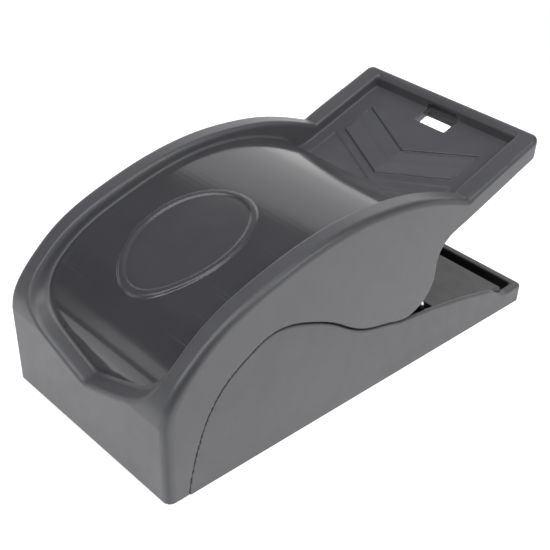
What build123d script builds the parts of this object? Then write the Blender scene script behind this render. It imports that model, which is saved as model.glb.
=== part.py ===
from build123d import *
import os
import math

# Snap mouse trap: a moulded jaw shell that pivots on a tray-shaped base, sprung shut by a
# double torsion spring, held open by a trigger lever that hooks over a wire latch loop.
# Frame: +Z up, the jaw's mouth faces -Y, the finger paddle is at +Y, X is the width.
# Millimetres. Origin at the middle of the footprint, on the standing surface.

# ---------------------------------------------------------------- driving dimensions
WIDTH = 51.0            # over the side walls
LENGTH = 108.8          # foot of the front wall to the origin's mirror point; sets the row's Y
REAR = 109.6            # rear wall
BULGE = 0.9             # the front wall leans forward by this much at its top
WALL = 2.0              # side wall thickness
FLOOR = 1.8             # base floor thickness
JAW_FOOT = 0.2          # the jaw's front wall stops this far above the standing surface
GAP = 0.4               # seam between jaw and base

PIVOT_F, PIVOT_Z = 64.5, 22.8    # jaw pivot: distance from the front face, height
PIN_R = 2.0             # pivot pin
PIN_HALF = 24.2
LOBE_R = 8.4            # round lobe of the jaw wall about the pivot
JAW_OPEN = 42.0         # degrees

RIM_IN = 20.9           # half width of the recessed top panel
RIM_ROUND = 1.7         # outer rounding of the rim
FRONT_ROUND = 2.6       # vertical front corners

TRIG_F, TRIG_Z = 60.7, 4.6       # trigger hinge
TRIG_PIN_R = 1.0
TRIG_ARM = 8.0          # degrees between fired and armed
LOOP_R = 14.0           # latch bar's distance from the jaw pivot
LOOP_WIRE = 0.9         # latch loop wire radius

COIL_MEAN, SPRING_WIRE = 3.65, 0.8
COIL_IN, COIL_OUT = 12.6, 20.4   # each coil along X
BRIDGE_F, BRIDGE_Z = 73.2, 11.9  # the wire bridge between the base legs

BAIT_F = 36.0           # bait cup centre
CUP_R = 5.9

HALF = WIDTH / 2
os.makedirs("parts", exist_ok=True)


def yy(f):
    """Distance from the front face to the frame's Y."""
    return f - LENGTH / 2


PY, PZ = yy(PIVOT_F), PIVOT_Z


def V(f, z):
    return (yy(f), z)


def face_of(*edges):
    return make_face(Plane.YZ * Wire([e for e in edges]))


def poly(pts):
    return Plane.YZ * make_face(Polyline(*[V(f, z) for f, z in pts], close=True))


def slab(face, x0, x1):
    """A prism of a YZ face from x0 to x1."""
    return Pos(x0, 0, 0) * extrude(face, x1 - x0, dir=(1, 0, 0))


def box(x0, x1, f0, f1, z0, z1):
    return Pos((x0 + x1) / 2, yy((f0 + f1) / 2), (z0 + z1) / 2) * Box(x1 - x0, f1 - f0, z1 - z0)


def rod(r, x0, x1, f, z):
    """A round bar along X."""
    return Pos((x0 + x1) / 2, yy(f), z) * Rot(0, 90, 0) * Cylinder(r, x1 - x0)


def rod_z(r, f, z0, z1, x=0.0):
    return Pos(x, yy(f), (z0 + z1) / 2) * Cylinder(r, z1 - z0)


def rod_between(a, b, r):
    """A straight round wire between two points given as (x, front distance, z)."""
    p, q = Vector(a[0], yy(a[1]), a[2]), Vector(b[0], yy(b[1]), b[2])
    d = q - p
    return extrude(Plane(origin=p, z_dir=d) * Circle(r), d.length)


def offset_pts(pts, d):
    """Points moved by d to the left of the direction of travel."""
    out = []
    for i, (a, b) in enumerate(pts):
        p0 = pts[max(i - 1, 0)]
        p1 = pts[min(i + 1, len(pts) - 1)]
        tx, tz = p1[0] - p0[0], p1[1] - p0[1]
        n = math.hypot(tx, tz)
        out.append((a - tz / n * d, b + tx / n * d))
    return out


def one(shape):
    """The single solid of a result, or the compound if there are several."""
    s = shape.solids()
    return s[0] if len(s) == 1 else Compound(children=list(s))


def write(name, shape, colour=None):
    shape = one(shape) if len(shape.solids()) == 1 else Compound(children=list(shape.solids()))
    shape.label = name
    export_step(shape, f"parts/{name}.step")


# ---------------------------------------------------------------- shared side profile
# Crest of the rim, front to the kink ahead of the paddle.
CREST = [(-BULGE, 18.6), (-0.3, 21.9), (1.1, 24.7), (3.0, 27.2), (5.4, 29.7), (8.6, 32.6), (12.6, 35.35),
         (17.4, 37.65), (24.0, 40.0), (32.6, 42.4), (40.9, 43.85), (48.8, 44.35),
         (56.4, 44.0), (64.6, 42.9), (73.2, 40.6), (81.2, 37.7)]
PADDLE_TOP = [(81.2, 37.7), (104.4, 46.1)]
PADDLE_UNDER = [(104.2, 41.0), (85.4, 33.9), (78.6, 31.5)]
THROAT = [(78.6, 31.5), (76.2, 30.5), (74.4, 29.0), (73.2, 26.9), (72.75, 24.4)]
# Seam between jaw and base, from the lobe forward to the foot.
SEAM = [(58.6, 15.5), (52.6, 17.0), (48.8, 18.6), (45.4, 20.7), (41.7, 23.2), (36.6, 25.8),
        (32.7, 27.4), (28.9, 28.5), (25.8, 28.8), (22.8, 28.3), (20.0, 27.0), (16.4, 24.9),
        (13.6, 22.9), (11.3, 20.3), (9.4, 17.2), (7.7, 13.0), (6.3, 8.0), (5.4, 3.5), (5.0, 0.0)]
JAW_SEAM = offset_pts(SEAM, -GAP / 2)      # towards the jaw
BASE_SEAM = offset_pts(SEAM, GAP / 2)      # towards the base

# Recessed panel, from the upright front facet over the top to its rear edge.
PANEL = [(3.1, 20.2), (4.7, 24.3), (6.9, 27.4), (9.8, 30.2), (13.4, 32.8), (18.0, 35.1),
         (24.5, 37.4), (33.0, 39.9), (41.2, 41.4), (48.8, 41.8), (56.3, 41.2), (63.6, 39.6),
         (70.0, 37.3)]


def spline(pts):
    return Spline(*[V(f, z) for f, z in pts])


def line(a, b):
    return Line(V(*a), V(*b))


def on_lobe(r, deg):
    a = math.radians(deg)
    return (PIVOT_F + r * math.cos(a), PIVOT_Z + r * math.sin(a))


def lobe_arc(r, a0, a1):
    p0, pm, p1 = on_lobe(r, a0), on_lobe(r, (a0 + a1) / 2), on_lobe(r, a1)
    return ThreePointArc(V(*p0), V(*pm), V(*p1))


# ---------------------------------------------------------------- jaw shell
def jaw_shell():
    rear_a, front_a = 11.0, -127.0
    lobe_rear, lobe_front = on_lobe(LOBE_R, rear_a), on_lobe(LOBE_R, front_a)
    seam = [lobe_front] + [p for p in JAW_SEAM if p[0] < lobe_front[0] - 1.5 and p[1] > JAW_FOOT + 0.4]
    foot = (JAW_SEAM[-1][0], JAW_FOOT)
    throat = THROAT[:-1] + [lobe_rear]
    edges = [
        line((0, JAW_FOOT), CREST[0]),
        spline(CREST),
        line(*PADDLE_TOP),
        line(PADDLE_TOP[1], PADDLE_UNDER[0]),
        line(PADDLE_UNDER[0], PADDLE_UNDER[1]),
        line(PADDLE_UNDER[1], PADDLE_UNDER[2]),
        spline(throat),
        lobe_arc(LOBE_R, rear_a, front_a),
        spline(seam),
        line(seam[-1], foot),
        line(foot, (0, JAW_FOOT)),
    ]
    outer = slab(Plane.YZ * make_face(edges), -HALF, HALF)

    # Round the outer rim, the paddle's corners and the front corners.
    def side(e):
        c = e.center()
        return abs(abs(c.X) - HALF) < 0.01

    def pick(shape):
        out = []
        for e in shape.edges():
            c = e.center()
            if side(e) and e.length > 70 and c.Z > 30:
                out.append(e)                                   # rim over the jaw
            elif side(e) and abs(c.Y - yy(0)) < 0.01:
                out.append(e)                                   # front corners
            elif side(e) and c.Z > 40.5 and c.Y > yy(85):
                out.append(e)                                   # rim and corners of the paddle
            elif abs(c.X) < 0.01 and c.Z > 45.0:
                out.append(e)                                   # rear edge of the paddle
        return out

    for r in (RIM_ROUND, 1.5, 1.3):
        try:
            outer = fillet(pick(outer), r)
            print("rim rounding", r)
            break
        except Exception as err:
            print("rim rounding failed", r, err)

    # Recess over the panel, then down the concave wall to the paddle's floor.
    slope = (PADDLE_TOP[1][1] - PADDLE_TOP[0][1]) / (PADDLE_TOP[1][0] - PADDLE_TOP[0][0])

    def floor_z(f):
        return PADDLE_TOP[0][1] - 2.9 + (f - PADDLE_TOP[0][0]) * slope

    valley = [(70.0, 37.3), (71.6, 36.1), (73.0, 34.6), (75.0, 33.55), (77.2, 33.5), (79.6, floor_z(79.6))]
    panel_cut = slab(Plane.YZ * make_face([
        line((-2, 8.0), (2.7, 8.0)),
        line((2.7, 8.0), PANEL[0]),
        spline(PANEL),
        line(PANEL[-1], (70.0, 60)),
        line((70.0, 60), (-2, 60)),
        line((-2, 60), (-2, 8.0)),
    ]), -RIM_IN, RIM_IN)
    # Front view of the recess: a shallow V above the mouth.
    lip = Plane.XZ * make_face(Polyline(
        (0, 14.2), (16.6, 20.0), (RIM_IN, 25.6), (RIM_IN, 70), (-RIM_IN, 70), (-RIM_IN, 25.6),
        (-16.6, 20.0), close=True))
    lip = Pos(0, yy(-5), 0) * extrude(lip, 100, dir=(0, 1, 0))
    try:
        lip = fillet([e for e in lip.edges() if abs(e.center().Z - 20.0) < 0.1 or abs(e.center().Z - 14.2) < 0.1
                      or abs(e.center().Z - 25.6) < 0.1], 2.2)
    except Exception as err:
        print("lip fillet skipped", err)
    panel_cut = panel_cut & lip
    paddle_cut = slab(Plane.YZ * make_face([
        line((69.0, 60), (69.0, 37.65)),
        line((69.0, 37.65), valley[0]),
        spline(valley),
        line(valley[-1], (101.8, floor_z(101.8))),
        line((101.8, floor_z(101.8)), (101.0, 60)),
        line((101.0, 60), (69.0, 60)),
    ]), -RIM_IN, RIM_IN)
    shell = outer - panel_cut
    shell = shell - paddle_cut

    # Hollow: 2 mm under the panel, open below and to the rear.
    under = offset_pts(PANEL, -2.0)
    under = [(5.3, 19.4)] + under[1:-1]
    hollow = slab(Plane.YZ * make_face([
        line((2.2, -3), (2.2, 9.5)),
        line((2.2, 9.5), (5.0, 13.0)),
        line((5.0, 13.0), under[0]),
        spline(under),
        line(under[-1], (69.0, 35.0)),
        line((69.0, 35.0), (72.2, 31.7)),
        line((72.2, 31.7), (78.6, 31.5)),
        line((78.6, 31.5), (78.6, -3)),
        line((78.6, -3), (2.2, -3)),
    ]), -(HALF - WALL), HALF - WALL)
    shell = shell - hollow

    # Window through the paddle floor, and the pocket it makes in the rear rim.
    shell = shell - box(-4.8, 4.8, 97.4, 101.8, 30, 43.0) - box(-4.8, 4.8, 101.0, 103.0, 41.6, 44.3)

    # Chevron: a raised V that points forward.
    chev = Polyline((0, 79.6), (16.2, 86.4), (16.3, 95.5), (0, 88.2), (-16.3, 95.5), (-16.2, 86.4), close=True)
    chev = make_face(chev)
    chev = Pos(0, -LENGTH / 2, 20) * extrude(chev, 40, dir=(0, 0, 1))
    skin = slab(poly([(78.0, floor_z(78.0) - 0.6), (100.0, floor_z(100.0) - 0.6), (100.0, floor_z(100.0) + 0.7),
                      (78.0, floor_z(78.0) + 0.7)]), -RIM_IN, RIM_IN)
    shell = shell + (chev & skin)

    # Plain raised plaque on the panel.
    plate = Pos(0, yy(25.0), 10) * extrude(Ellipse(11.5, 15.0), 40)
    inner = Pos(0, yy(25.0), 10) * extrude(Ellipse(9.9, 13.4), 40)
    ringed = plate - inner
    body = slab(Plane.YZ * make_face([
        spline(offset_pts(PANEL, 0.5)[1:10]),
        line(offset_pts(PANEL, 0.5)[9], offset_pts(PANEL, -1.0)[9]),
        spline(list(reversed(offset_pts(PANEL, -1.0)[1:10]))),
        line(offset_pts(PANEL, -1.0)[1], offset_pts(PANEL, 0.5)[1]),
    ]), -RIM_IN, RIM_IN)
    shell = shell + (ringed & body)

    # Blind bosses for the pivot pin.
    for s in (1, -1):
        x0, x1 = sorted((s * 21.6, s * (HALF - 1.0)))
        shell = shell + rod(5.4, x0, x1, PIVOT_F, PIVOT_Z)
        x0, x1 = sorted((s * 21.0, s * 24.4))
        shell = shell - rod(PIN_R + 0.05, x0, x1, PIVOT_F, PIVOT_Z)

    # Ribs that carry the kill bar, standing off the front wall.
    for x in (-19.0, 0.0, 19.0):
        rib = slab(poly([(1.5, 5.2), (8.4, 5.2), (9.6, 6.4), (9.6, 8.8), (8.4, 10.0), (6.6, 11.6), (5.4, 15.5), (1.5, 11.0)]),
                   x - 1.1, x + 1.1)
        shell = shell + rib
    shell = shell - rod(1.25, -21.6, 21.6, 7.6, 7.6)

    # Block under the valley that grips the latch loop's two legs.
    block = slab(poly([(77.0, 33.0), (77.0, 30.2), (82.6, 30.2), (84.6, 33.4), (84.6, 34.4)]), -6.6, 6.6)
    shell = shell + block
    for s in (1, -1):
        shell = shell - rod_between((s * 4.6, 78.9, 28.0), (s * 4.6, 79.56, 32.18), LOOP_WIRE)
    return shell


jaw = jaw_shell()
write("jaw_shell", jaw)

# ---------------------------------------------------------------- kill bar
write("kill_bar", rod(1.25, -21.0, 21.0, 7.6, 7.6))


# ---------------------------------------------------------------- latch loop
def loop_point(extra=0.0, r=LOOP_R):
    a = math.radians(-60.0 + JAW_OPEN + extra)
    return PIVOT_F + r * math.cos(a), PIVOT_Z + r * math.sin(a)


def latch_loop():
    bf, bz = loop_point()
    path = FilletPolyline(
        (4.6, yy(79.5), 31.8), (4.6, yy(78.9), 28.0), (4.6, yy(bf), bz), (-4.6, yy(bf), bz),
        (-4.6, yy(78.9), 28.0), (-4.6, yy(79.5), 31.8), radius=1.3)
    start = Plane(origin=path @ 0, z_dir=path % 0)
    return sweep(start * Circle(LOOP_WIRE), path=path)


write("latch_loop", latch_loop())


# ---------------------------------------------------------------- base housing
def base_housing():
    rec = LOBE_R + GAP + 0.1
    a1 = -127.0
    a0 = -97.0
    p_front, p_rear = on_lobe(rec, a1), on_lobe(rec, a0)
    seam = [p_front] + [p for p in BASE_SEAM if p[0] < p_front[0] - 1.5]
    seam[-1] = (seam[-1][0], 0.0)
    edges = [
        spline(seam),
        line(seam[-1], (REAR, 0)),
        line((REAR, 0), (REAR, 4.6)),
        line((REAR, 4.6), (103.6, 4.4)),
        spline([(103.6, 4.4), (101.2, 5.1), (98.8, 6.4), (97.0, 7.65), (95.7, 8.15)]),
        line((95.7, 8.15), (85.8, 10.55)),
        line((85.8, 10.55), (73.1, 12.9)),
        line((73.1, 12.9), p_rear),
        lobe_arc(rec, a0, a1),
    ]
    body = slab(Plane.YZ * make_face(edges), -HALF, HALF)
    # Round the tail's vertical corners and long lower edges a little.
    try:
        body = fillet([e for e in body.edges() if abs(abs(e.center().X) - HALF) < 0.01
                       and abs(e.center().Y - yy(REAR)) < 0.01], 1.3)
    except Exception as err:
        print("tail fillet skipped", err)
    # Tray: floor, two side walls, a rear wall; open at the front.
    tray = box(-(HALF - WALL), HALF - WALL, -5, REAR - 2.2, FLOOR, 60)
    body = body - tray
    # The side walls are thin beside the tail cover, which lies in a step in them.
    step = slab(poly([(67.0, cover_z(67.0) - 1.6), (102.4, cover_z(102.4) - 1.6), (102.4, 20), (67.0, 20)]), -24.5, 24.5)
    body = body - step
    # Strike ridge near the front edge of the floor.
    body = body + slab(poly([(6.2, FLOOR - 0.5), (6.2, 3.2), (6.8, 3.8), (8.4, 3.8), (9.4, FLOOR - 0.5)]), -22.5, 22.5)
    # Posts for the pivot pin, each a web with a rounded head.
    for s in (1, -1):
        x0, x1 = sorted((s * 8.8, s * 11.4))
        post = slab(poly([(57.5, 1.0), (71.5, 1.0), (69.0, 22.8), (60.0, 22.8)]), x0, x1) + rod(4.5, x0, x1, PIVOT_F, PIVOT_Z)
        body = body + post
    # Cross rib between the posts, under the trigger's finger, and the spring's rests.
    for s in (1, -1):
        x0, x1 = sorted((s * 13.4, s * 15.0))
        rest = slab(poly([(70.6, 1.0), (75.6, 1.0), (75.6, 11.4), (74.4, 12.6), (74.2, 12.2), (74.02, 11.6), (73.6, 11.1), (72.2, 11.09), (70.6, 11.09)]), x0, x1)
        body = body + rest
    # Lugs for the trigger pin.
    for s in (1, -1):
        x0, x1 = sorted((s * 5.0, s * 7.0))
        lug = slab(poly([(57.6, 1.0), (63.8, 1.0), (63.2, 4.6), (58.2, 4.6)]), x0, x1) + rod(2.5, x0, x1, TRIG_F, TRIG_Z)
        body = body + lug
    # Ledges that carry the tail cover, and the rear cross wall under its rear edge.
    for s in (1, -1):
        x0, x1 = sorted((s * 21.0, s * (HALF - 1.0)))
        body = body + slab(poly([(76.0, 1.0), (100.8, 1.0), (100.8, cover_z(100.8) - 1.6), (76.0, cover_z(76.0) - 1.6)]), x0, x1)
    body = body + slab(poly([(98.6, 1.0), (100.8, 1.0), (100.8, cover_z(100.8) - 1.6), (98.6, cover_z(98.6) - 1.6)]), -22, 22)
    # Bores.
    body = body - rod(PIN_R, -12, 12, PIVOT_F, PIVOT_Z)
    body = body - rod(TRIG_PIN_R, -7.5, 7.5, TRIG_F, TRIG_Z)
    body = body - rod_z(CUP_R + 0.1, BAIT_F, -1, 3)
    # The fixed posts have to let the trigger's hub and finger pass between them.
    return body


def cover_z(f):
    """Top face of the tail cover."""
    return 11.8 - (f - 74.5) * 0.208


write("base_housing", base_housing())

# ---------------------------------------------------------------- tail cover plate
cover = slab(poly([(74.9, cover_z(74.9) - 1.6), (75.6 + 1.0, cover_z(76.6) - 1.6), (102.0, cover_z(102.0) - 1.6), (102.0, cover_z(102.0)),
                   (76.6, cover_z(76.6)), (74.9, cover_z(74.9))]), -24.3, 24.3)
cover = cover - box(13.1, 15.3, 70, 75.9, 0, 30) - box(-15.3, -13.1, 70, 75.9, 0, 30)
write("tail_cover", cover)

# ---------------------------------------------------------------- pins
write("pivot_pin", rod(PIN_R, -PIN_HALF, PIN_HALF, PIVOT_F, PIVOT_Z))
write("trigger_pin", rod(TRIG_PIN_R, -7.4, 7.4, TRIG_F, TRIG_Z))


# ---------------------------------------------------------------- spring
def spring():
    leg_r = SPRING_WIRE - 0.06
    xo, xi = COIL_OUT - SPRING_WIRE, COIL_IN + SPRING_WIRE
    d = math.hypot(BRIDGE_F - PIVOT_F, BRIDGE_Z - PIVOT_Z)
    t = math.atan2(BRIDGE_Z - PIVOT_Z, BRIDGE_F - PIVOT_F) + math.acos(COIL_MEAN / d)
    tp = (PIVOT_F + COIL_MEAN * math.cos(t), PIVOT_Z + COIL_MEAN * math.sin(t))
    # Base legs and the bridge between them, one bent wire.
    xb = 22.4           # the legs splay out to the ends of the bridge
    path = FilletPolyline((xo, yy(tp[0]), tp[1]), (xb, yy(BRIDGE_F), BRIDGE_Z),
                          (-xb, yy(BRIDGE_F), BRIDGE_Z), (-xo, yy(tp[0]), tp[1]), radius=1.4)
    out = sweep(Plane(origin=path @ 0, z_dir=path % 0) * Circle(leg_r), path=path)
    ef, ez = 83.0, 31.9
    d = math.hypot(ef - PIVOT_F, ez - PIVOT_Z)
    t = math.atan2(ez - PIVOT_Z, ef - PIVOT_F) - math.acos(COIL_MEAN / d)
    tq = (PIVOT_F + COIL_MEAN * math.cos(t), PIVOT_Z + COIL_MEAN * math.sin(t))
    for s in (1, -1):
        x0, x1 = sorted((s * COIL_IN, s * COIL_OUT))
        coil = rod(COIL_MEAN + SPRING_WIRE, x0, x1, PIVOT_F, PIVOT_Z) - rod(COIL_MEAN - SPRING_WIRE, x0 - 1, x1 + 1, PIVOT_F, PIVOT_Z)
        # Jaw leg: off the coil's inner end, up under the paddle.
        out = out + coil + rod_between((s * xi, tq[0], tq[1]), (s * xi, ef, ez), leg_r)
    return out


write("torsion_spring", spring())


# ---------------------------------------------------------------- trigger lever
def trigger():
    # Shape drawn in the armed position, then turned down to the fired (rest) position.
    sf = PIVOT_F + LOOP_R * math.cos(math.radians(-60))
    sz = PIVOT_Z + LOOP_R * math.sin(math.radians(-60))
    ux, uz = sf - TRIG_F, sz - TRIG_Z
    d = math.hypot(ux, uz)
    ux, uz = ux / d, uz / d
    nx, nz = -uz, ux            # across the finger, upward

    def at(u, n):
        return (TRIG_F + ux * u + nx * n, TRIG_Z + uz * u + nz * n)

    r = LOOP_WIRE
    finger = [at(-1.5, r + 0.2), at(d + r + 0.15, r + 0.2), at(d + r + 0.15, -0.45), at(d + r + 0.75, -0.45),
              at(d + r + 2.0, r + 0.6), at(d + r + 1.2, r + 2.2), at(3.0, r + 2.2), at(-1.0, r + 1.7)]
    finger = slab(poly(finger), -3.3, 3.3)
    finger = Pos(0, yy(TRIG_F), TRIG_Z) * Rot(TRIG_ARM, 0, 0) * Pos(0, -yy(TRIG_F), -TRIG_Z) * finger
    hub = rod(2.5, -4.6, 4.6, TRIG_F, TRIG_Z)
    # Arm and pressure plate, drawn in the fired position, low over the floor.
    arm = slab(poly([(61.5, 2.5), (48.0, 2.5), (48.0, 4.4), (58.6, 6.0), (60.7, 7.0)]), -3.3, 3.3)
    plate = make_face(Polyline((-4.6, 50.0), (-15.5, 46.0), (-17.0, 20.0), (-12.0, 13.4), (-6.0, 13.4), (0, 17.5),
                               (6.0, 13.4), (12.0, 13.4), (17.0, 20.0), (15.5, 46.0), (4.6, 50.0), close=True))
    plate = Pos(0, -LENGTH / 2, 2.6) * extrude(plate, 1.6, dir=(0, 0, 1))
    # Opening over the bait cup, and a low grip rib on each side.
    plate = plate - rod_z(9.0, BAIT_F, 0, 10)
    for s in (1, -1):
        for f in (20.5, 24.0):
            plate = plate + box(*sorted((s * 5.0, s * 14.0)), f, f + 1.0, 4.0, 4.8)
    plate = plate + box(-3.3, 3.3, 46.5, 50.5, 2.6, 4.4)
    lever = hub + finger + arm + plate
    lever = lever - rod(TRIG_PIN_R + 0.05, -6, 6, TRIG_F, TRIG_Z)
    return lever


write("trigger_lever", trigger())

# ---------------------------------------------------------------- bait cup
cup = rod_z(CUP_R, BAIT_F, 0.5, 6.8) + rod_z(7.4, BAIT_F, FLOOR, FLOOR + 0.8)
cup = cup - rod_z(CUP_R - 1.0, BAIT_F, 1.5, 10)
write("bait_cup", cup)
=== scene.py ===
import math

import bpy
import numpy as np
from mathutils import Matrix, Vector


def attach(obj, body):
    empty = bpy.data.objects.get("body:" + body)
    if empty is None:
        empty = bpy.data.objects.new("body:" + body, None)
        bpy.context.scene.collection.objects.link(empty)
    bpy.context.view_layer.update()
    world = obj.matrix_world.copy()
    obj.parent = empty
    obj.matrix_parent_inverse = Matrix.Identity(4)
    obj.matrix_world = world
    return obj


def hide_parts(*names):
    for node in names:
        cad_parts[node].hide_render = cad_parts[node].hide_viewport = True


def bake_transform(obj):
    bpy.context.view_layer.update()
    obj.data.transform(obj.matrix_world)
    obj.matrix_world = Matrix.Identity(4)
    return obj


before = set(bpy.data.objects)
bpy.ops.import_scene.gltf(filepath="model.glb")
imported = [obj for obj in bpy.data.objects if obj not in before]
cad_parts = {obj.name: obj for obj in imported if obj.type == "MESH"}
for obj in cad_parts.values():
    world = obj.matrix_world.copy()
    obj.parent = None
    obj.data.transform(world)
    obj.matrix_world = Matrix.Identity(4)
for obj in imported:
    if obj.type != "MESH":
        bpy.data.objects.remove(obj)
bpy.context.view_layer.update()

# Snap mouse trap. Shapes are drawn in millimetres: x across, f the distance back from the
# front face, z up. The row frame's Y is f - LENGTH / 2.
LENGTH, HALF, WALL, FLOOR = 108.8, 25.5, 2.0, 1.8
REAR = 109.6                         # rear wall of the base
PF, PZ = 64.5, 22.8                  # jaw pivot
LOBE_R, GAP, JAW_FOOT = 8.4, 0.4, 0.08
RIM_IN = 20.9
QF, QZ = 60.7, 4.6                   # trigger hinge
BAIT_F, CUP_R = 36.0, 5.9


# ------------------------------------------------------------------ camera
def make_camera():
    cam = bpy.data.objects.new("camera", bpy.data.cameras.new("camera"))
    bpy.context.scene.collection.objects.link(cam)
    cam.data.sensor_width = 36.0
    cam.data.lens = 1072.49 / 550 * 36.0
    right = Vector((0.68283823, 0.72869928, 0.05224276))
    up = Vector((-0.42906503, 0.34212802, 0.83597346))
    back = Vector((0.59129955, -0.59325018, 0.54627747))
    m = Matrix((right, up, back)).transposed().to_4x4()
    m.translation = Vector((0.1383, -0.1435, 0.1463))
    cam.matrix_world = m
    cam.data.clip_start, cam.data.clip_end = 0.005, 20
    bpy.context.scene.camera = cam


make_camera()


# ------------------------------------------------------------------ distance fields
def curve(pts, n=6):
    """Natural cubic spline through points, n steps to a span."""
    p = np.array(pts, float)
    t = np.r_[0, np.cumsum(np.hypot(*np.diff(p, axis=0).T))]
    h = np.diff(t)
    m = len(p)
    a = np.zeros((m, m))
    b = np.zeros((m, 2))
    a[0, 0] = a[-1, -1] = 1
    for i in range(1, m - 1):
        a[i, i - 1:i + 2] = h[i - 1], 2 * (h[i - 1] + h[i]), h[i]
        b[i] = 6 * ((p[i + 1] - p[i]) / h[i] - (p[i] - p[i - 1]) / h[i - 1])
    k = np.linalg.solve(a, b)
    out = []
    for i in range(m - 1):
        for s in np.linspace(0, h[i], n, endpoint=False):
            u, v = h[i] - s, s
            out.append(k[i] * u ** 3 / (6 * h[i]) + k[i + 1] * v ** 3 / (6 * h[i])
                       + (p[i] / h[i] - k[i] * h[i] / 6) * u + (p[i + 1] / h[i] - k[i + 1] * h[i] / 6) * v)
    out.append(p[-1])
    return [tuple(q) for q in out]


def shifted(pts, d):
    """Points moved by d to the left of the direction of travel."""
    out = []
    for i, (a, b) in enumerate(pts):
        p0, p1 = pts[max(i - 1, 0)], pts[min(i + 1, len(pts) - 1)]
        tx, tz = p1[0] - p0[0], p1[1] - p0[1]
        n = math.hypot(tx, tz)
        out.append((a - tz / n * d, b + tx / n * d))
    return out


def along_seam(sign):
    """The seam line moved off centre: a clear gap at the rear, a hairline towards the front foot."""
    out = []
    for p in SEAM:
        w = GAP / 2 - (GAP / 2 - 0.06) * min(1.0, max(0.0, (31.0 - p[0]) / 9.0)) - 0.04 * min(1.0, max(0.0, (10.5 - p[0]) / 2.5))
        out.append(shifted_one(SEAM, SEAM.index(p), sign * w))
    return out


def shifted_one(pts, i, d):
    p0, p1 = pts[max(i - 1, 0)], pts[min(i + 1, len(pts) - 1)]
    tx, tz = p1[0] - p0[0], p1[1] - p0[1]
    n = math.hypot(tx, tz)
    return pts[i][0] - tz / n * d, pts[i][1] + tx / n * d


def around(cx, cz, r, a0, a1, n=24):
    return [(cx + r * math.cos(math.radians(a)), cz + r * math.sin(math.radians(a)))
            for a in np.linspace(a0, a1, n)]


def outline_distance(pts, a, b):
    """Signed distance from points (a, b) to a closed outline, negative inside."""
    a, b = np.asarray(a, float), np.asarray(b, float)
    best = np.full(a.shape, 1e18)
    inside = np.zeros(a.shape, bool)
    n = len(pts)
    for i in range(n):
        (ax, az), (bx, bz) = pts[i], pts[(i + 1) % n]
        ex, ez = bx - ax, bz - az
        ll = ex * ex + ez * ez
        if ll < 1e-12:
            continue
        wx, wz = a - ax, b - az
        t = np.clip((wx * ex + wz * ez) / ll, 0, 1)
        best = np.minimum(best, (wx - t * ex) ** 2 + (wz - t * ez) ** 2)
        if az != bz:
            cross = (az > b) != (bz > b)
            inside ^= cross & (a < ax + (b - az) * ex / ez)
    return np.where(inside, -1.0, 1.0) * np.sqrt(best)


class Outline:
    """A closed outline's distance, tabulated so that it can be read anywhere quickly."""

    def __init__(self, pts, step=0.2, pad=4.0, box=None):
        p = np.array(pts, float)
        lo = np.maximum(p.min(0) - pad, (-6, -6)) if box is None else np.array(box[0], float)
        hi = np.minimum(p.max(0) + pad, (115, 58)) if box is None else np.array(box[1], float)
        self.lo, self.step = lo, step
        n = np.ceil((hi - lo) / step).astype(int) + 1
        ga = lo[0] + step * np.arange(n[0])
        gb = lo[1] + step * np.arange(n[1])
        self.tab = outline_distance(pts, *np.meshgrid(ga, gb, indexing="ij"))
        self.n = n

    def __call__(self, a, b):
        u = np.clip((a - self.lo[0]) / self.step, 0, self.n[0] - 1.001)
        v = np.clip((b - self.lo[1]) / self.step, 0, self.n[1] - 1.001)
        i, j = u.astype(np.int32), v.astype(np.int32)
        fu, fv = u - i, v - j
        t = self.tab
        return ((t[i, j] * (1 - fu) + t[i + 1, j] * fu) * (1 - fv)
                + (t[i, j + 1] * (1 - fu) + t[i + 1, j + 1] * fu) * fv)


def both(a, b, r):
    """Where two solids overlap, its edge rounded to radius r."""
    return np.minimum(-r, np.maximum(a, b)) + np.sqrt(np.maximum(a + r, 0) ** 2 + np.maximum(b + r, 0) ** 2)


def join(a, b, r):
    """Two solids together, the corner between them filleted to radius r."""
    return -both(-a, -b, r)


def cut(a, b, r):
    """a with b taken out, the edge rounded to radius r."""
    return both(a, -b, r)


def step01(x, a, b):
    t = np.clip((x - a) / (b - a), 0, 1)
    return t * t * (3 - 2 * t)


def slab_x(x, x0, x1):
    return np.abs(x - (x0 + x1) / 2) - (x1 - x0) / 2


def brick(x, f, z, x0, x1, f0, f1, z0, z1, r=0.2):
    d = both(slab_x(x, x0, x1), slab_x(f, f0, f1), r)
    return both(d, slab_x(z, z0, z1), r)


def cyl_x(x, f, z, cf, cz, rad, x0, x1, r=0.2):
    return both(np.hypot(f - cf, z - cz) - rad, slab_x(x, x0, x1), r)


def cyl_z(x, f, z, cx, cf, rad, z0, z1, r=0.2):
    return both(np.hypot(x - cx, f - cf) - rad, slab_x(z, z0, z1), r)


# ------------------------------------------------------------------ surface from a field
def lines(*spans):
    """Grid lines: (start, end, spacing) spans joined end to end."""
    out = []
    for a, b, s in spans:
        n = max(1, int(round((b - a) / s)))
        out.extend(np.linspace(a, b, n, endpoint=False))
    out.append(spans[-1][1])
    return np.array(out)


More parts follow.
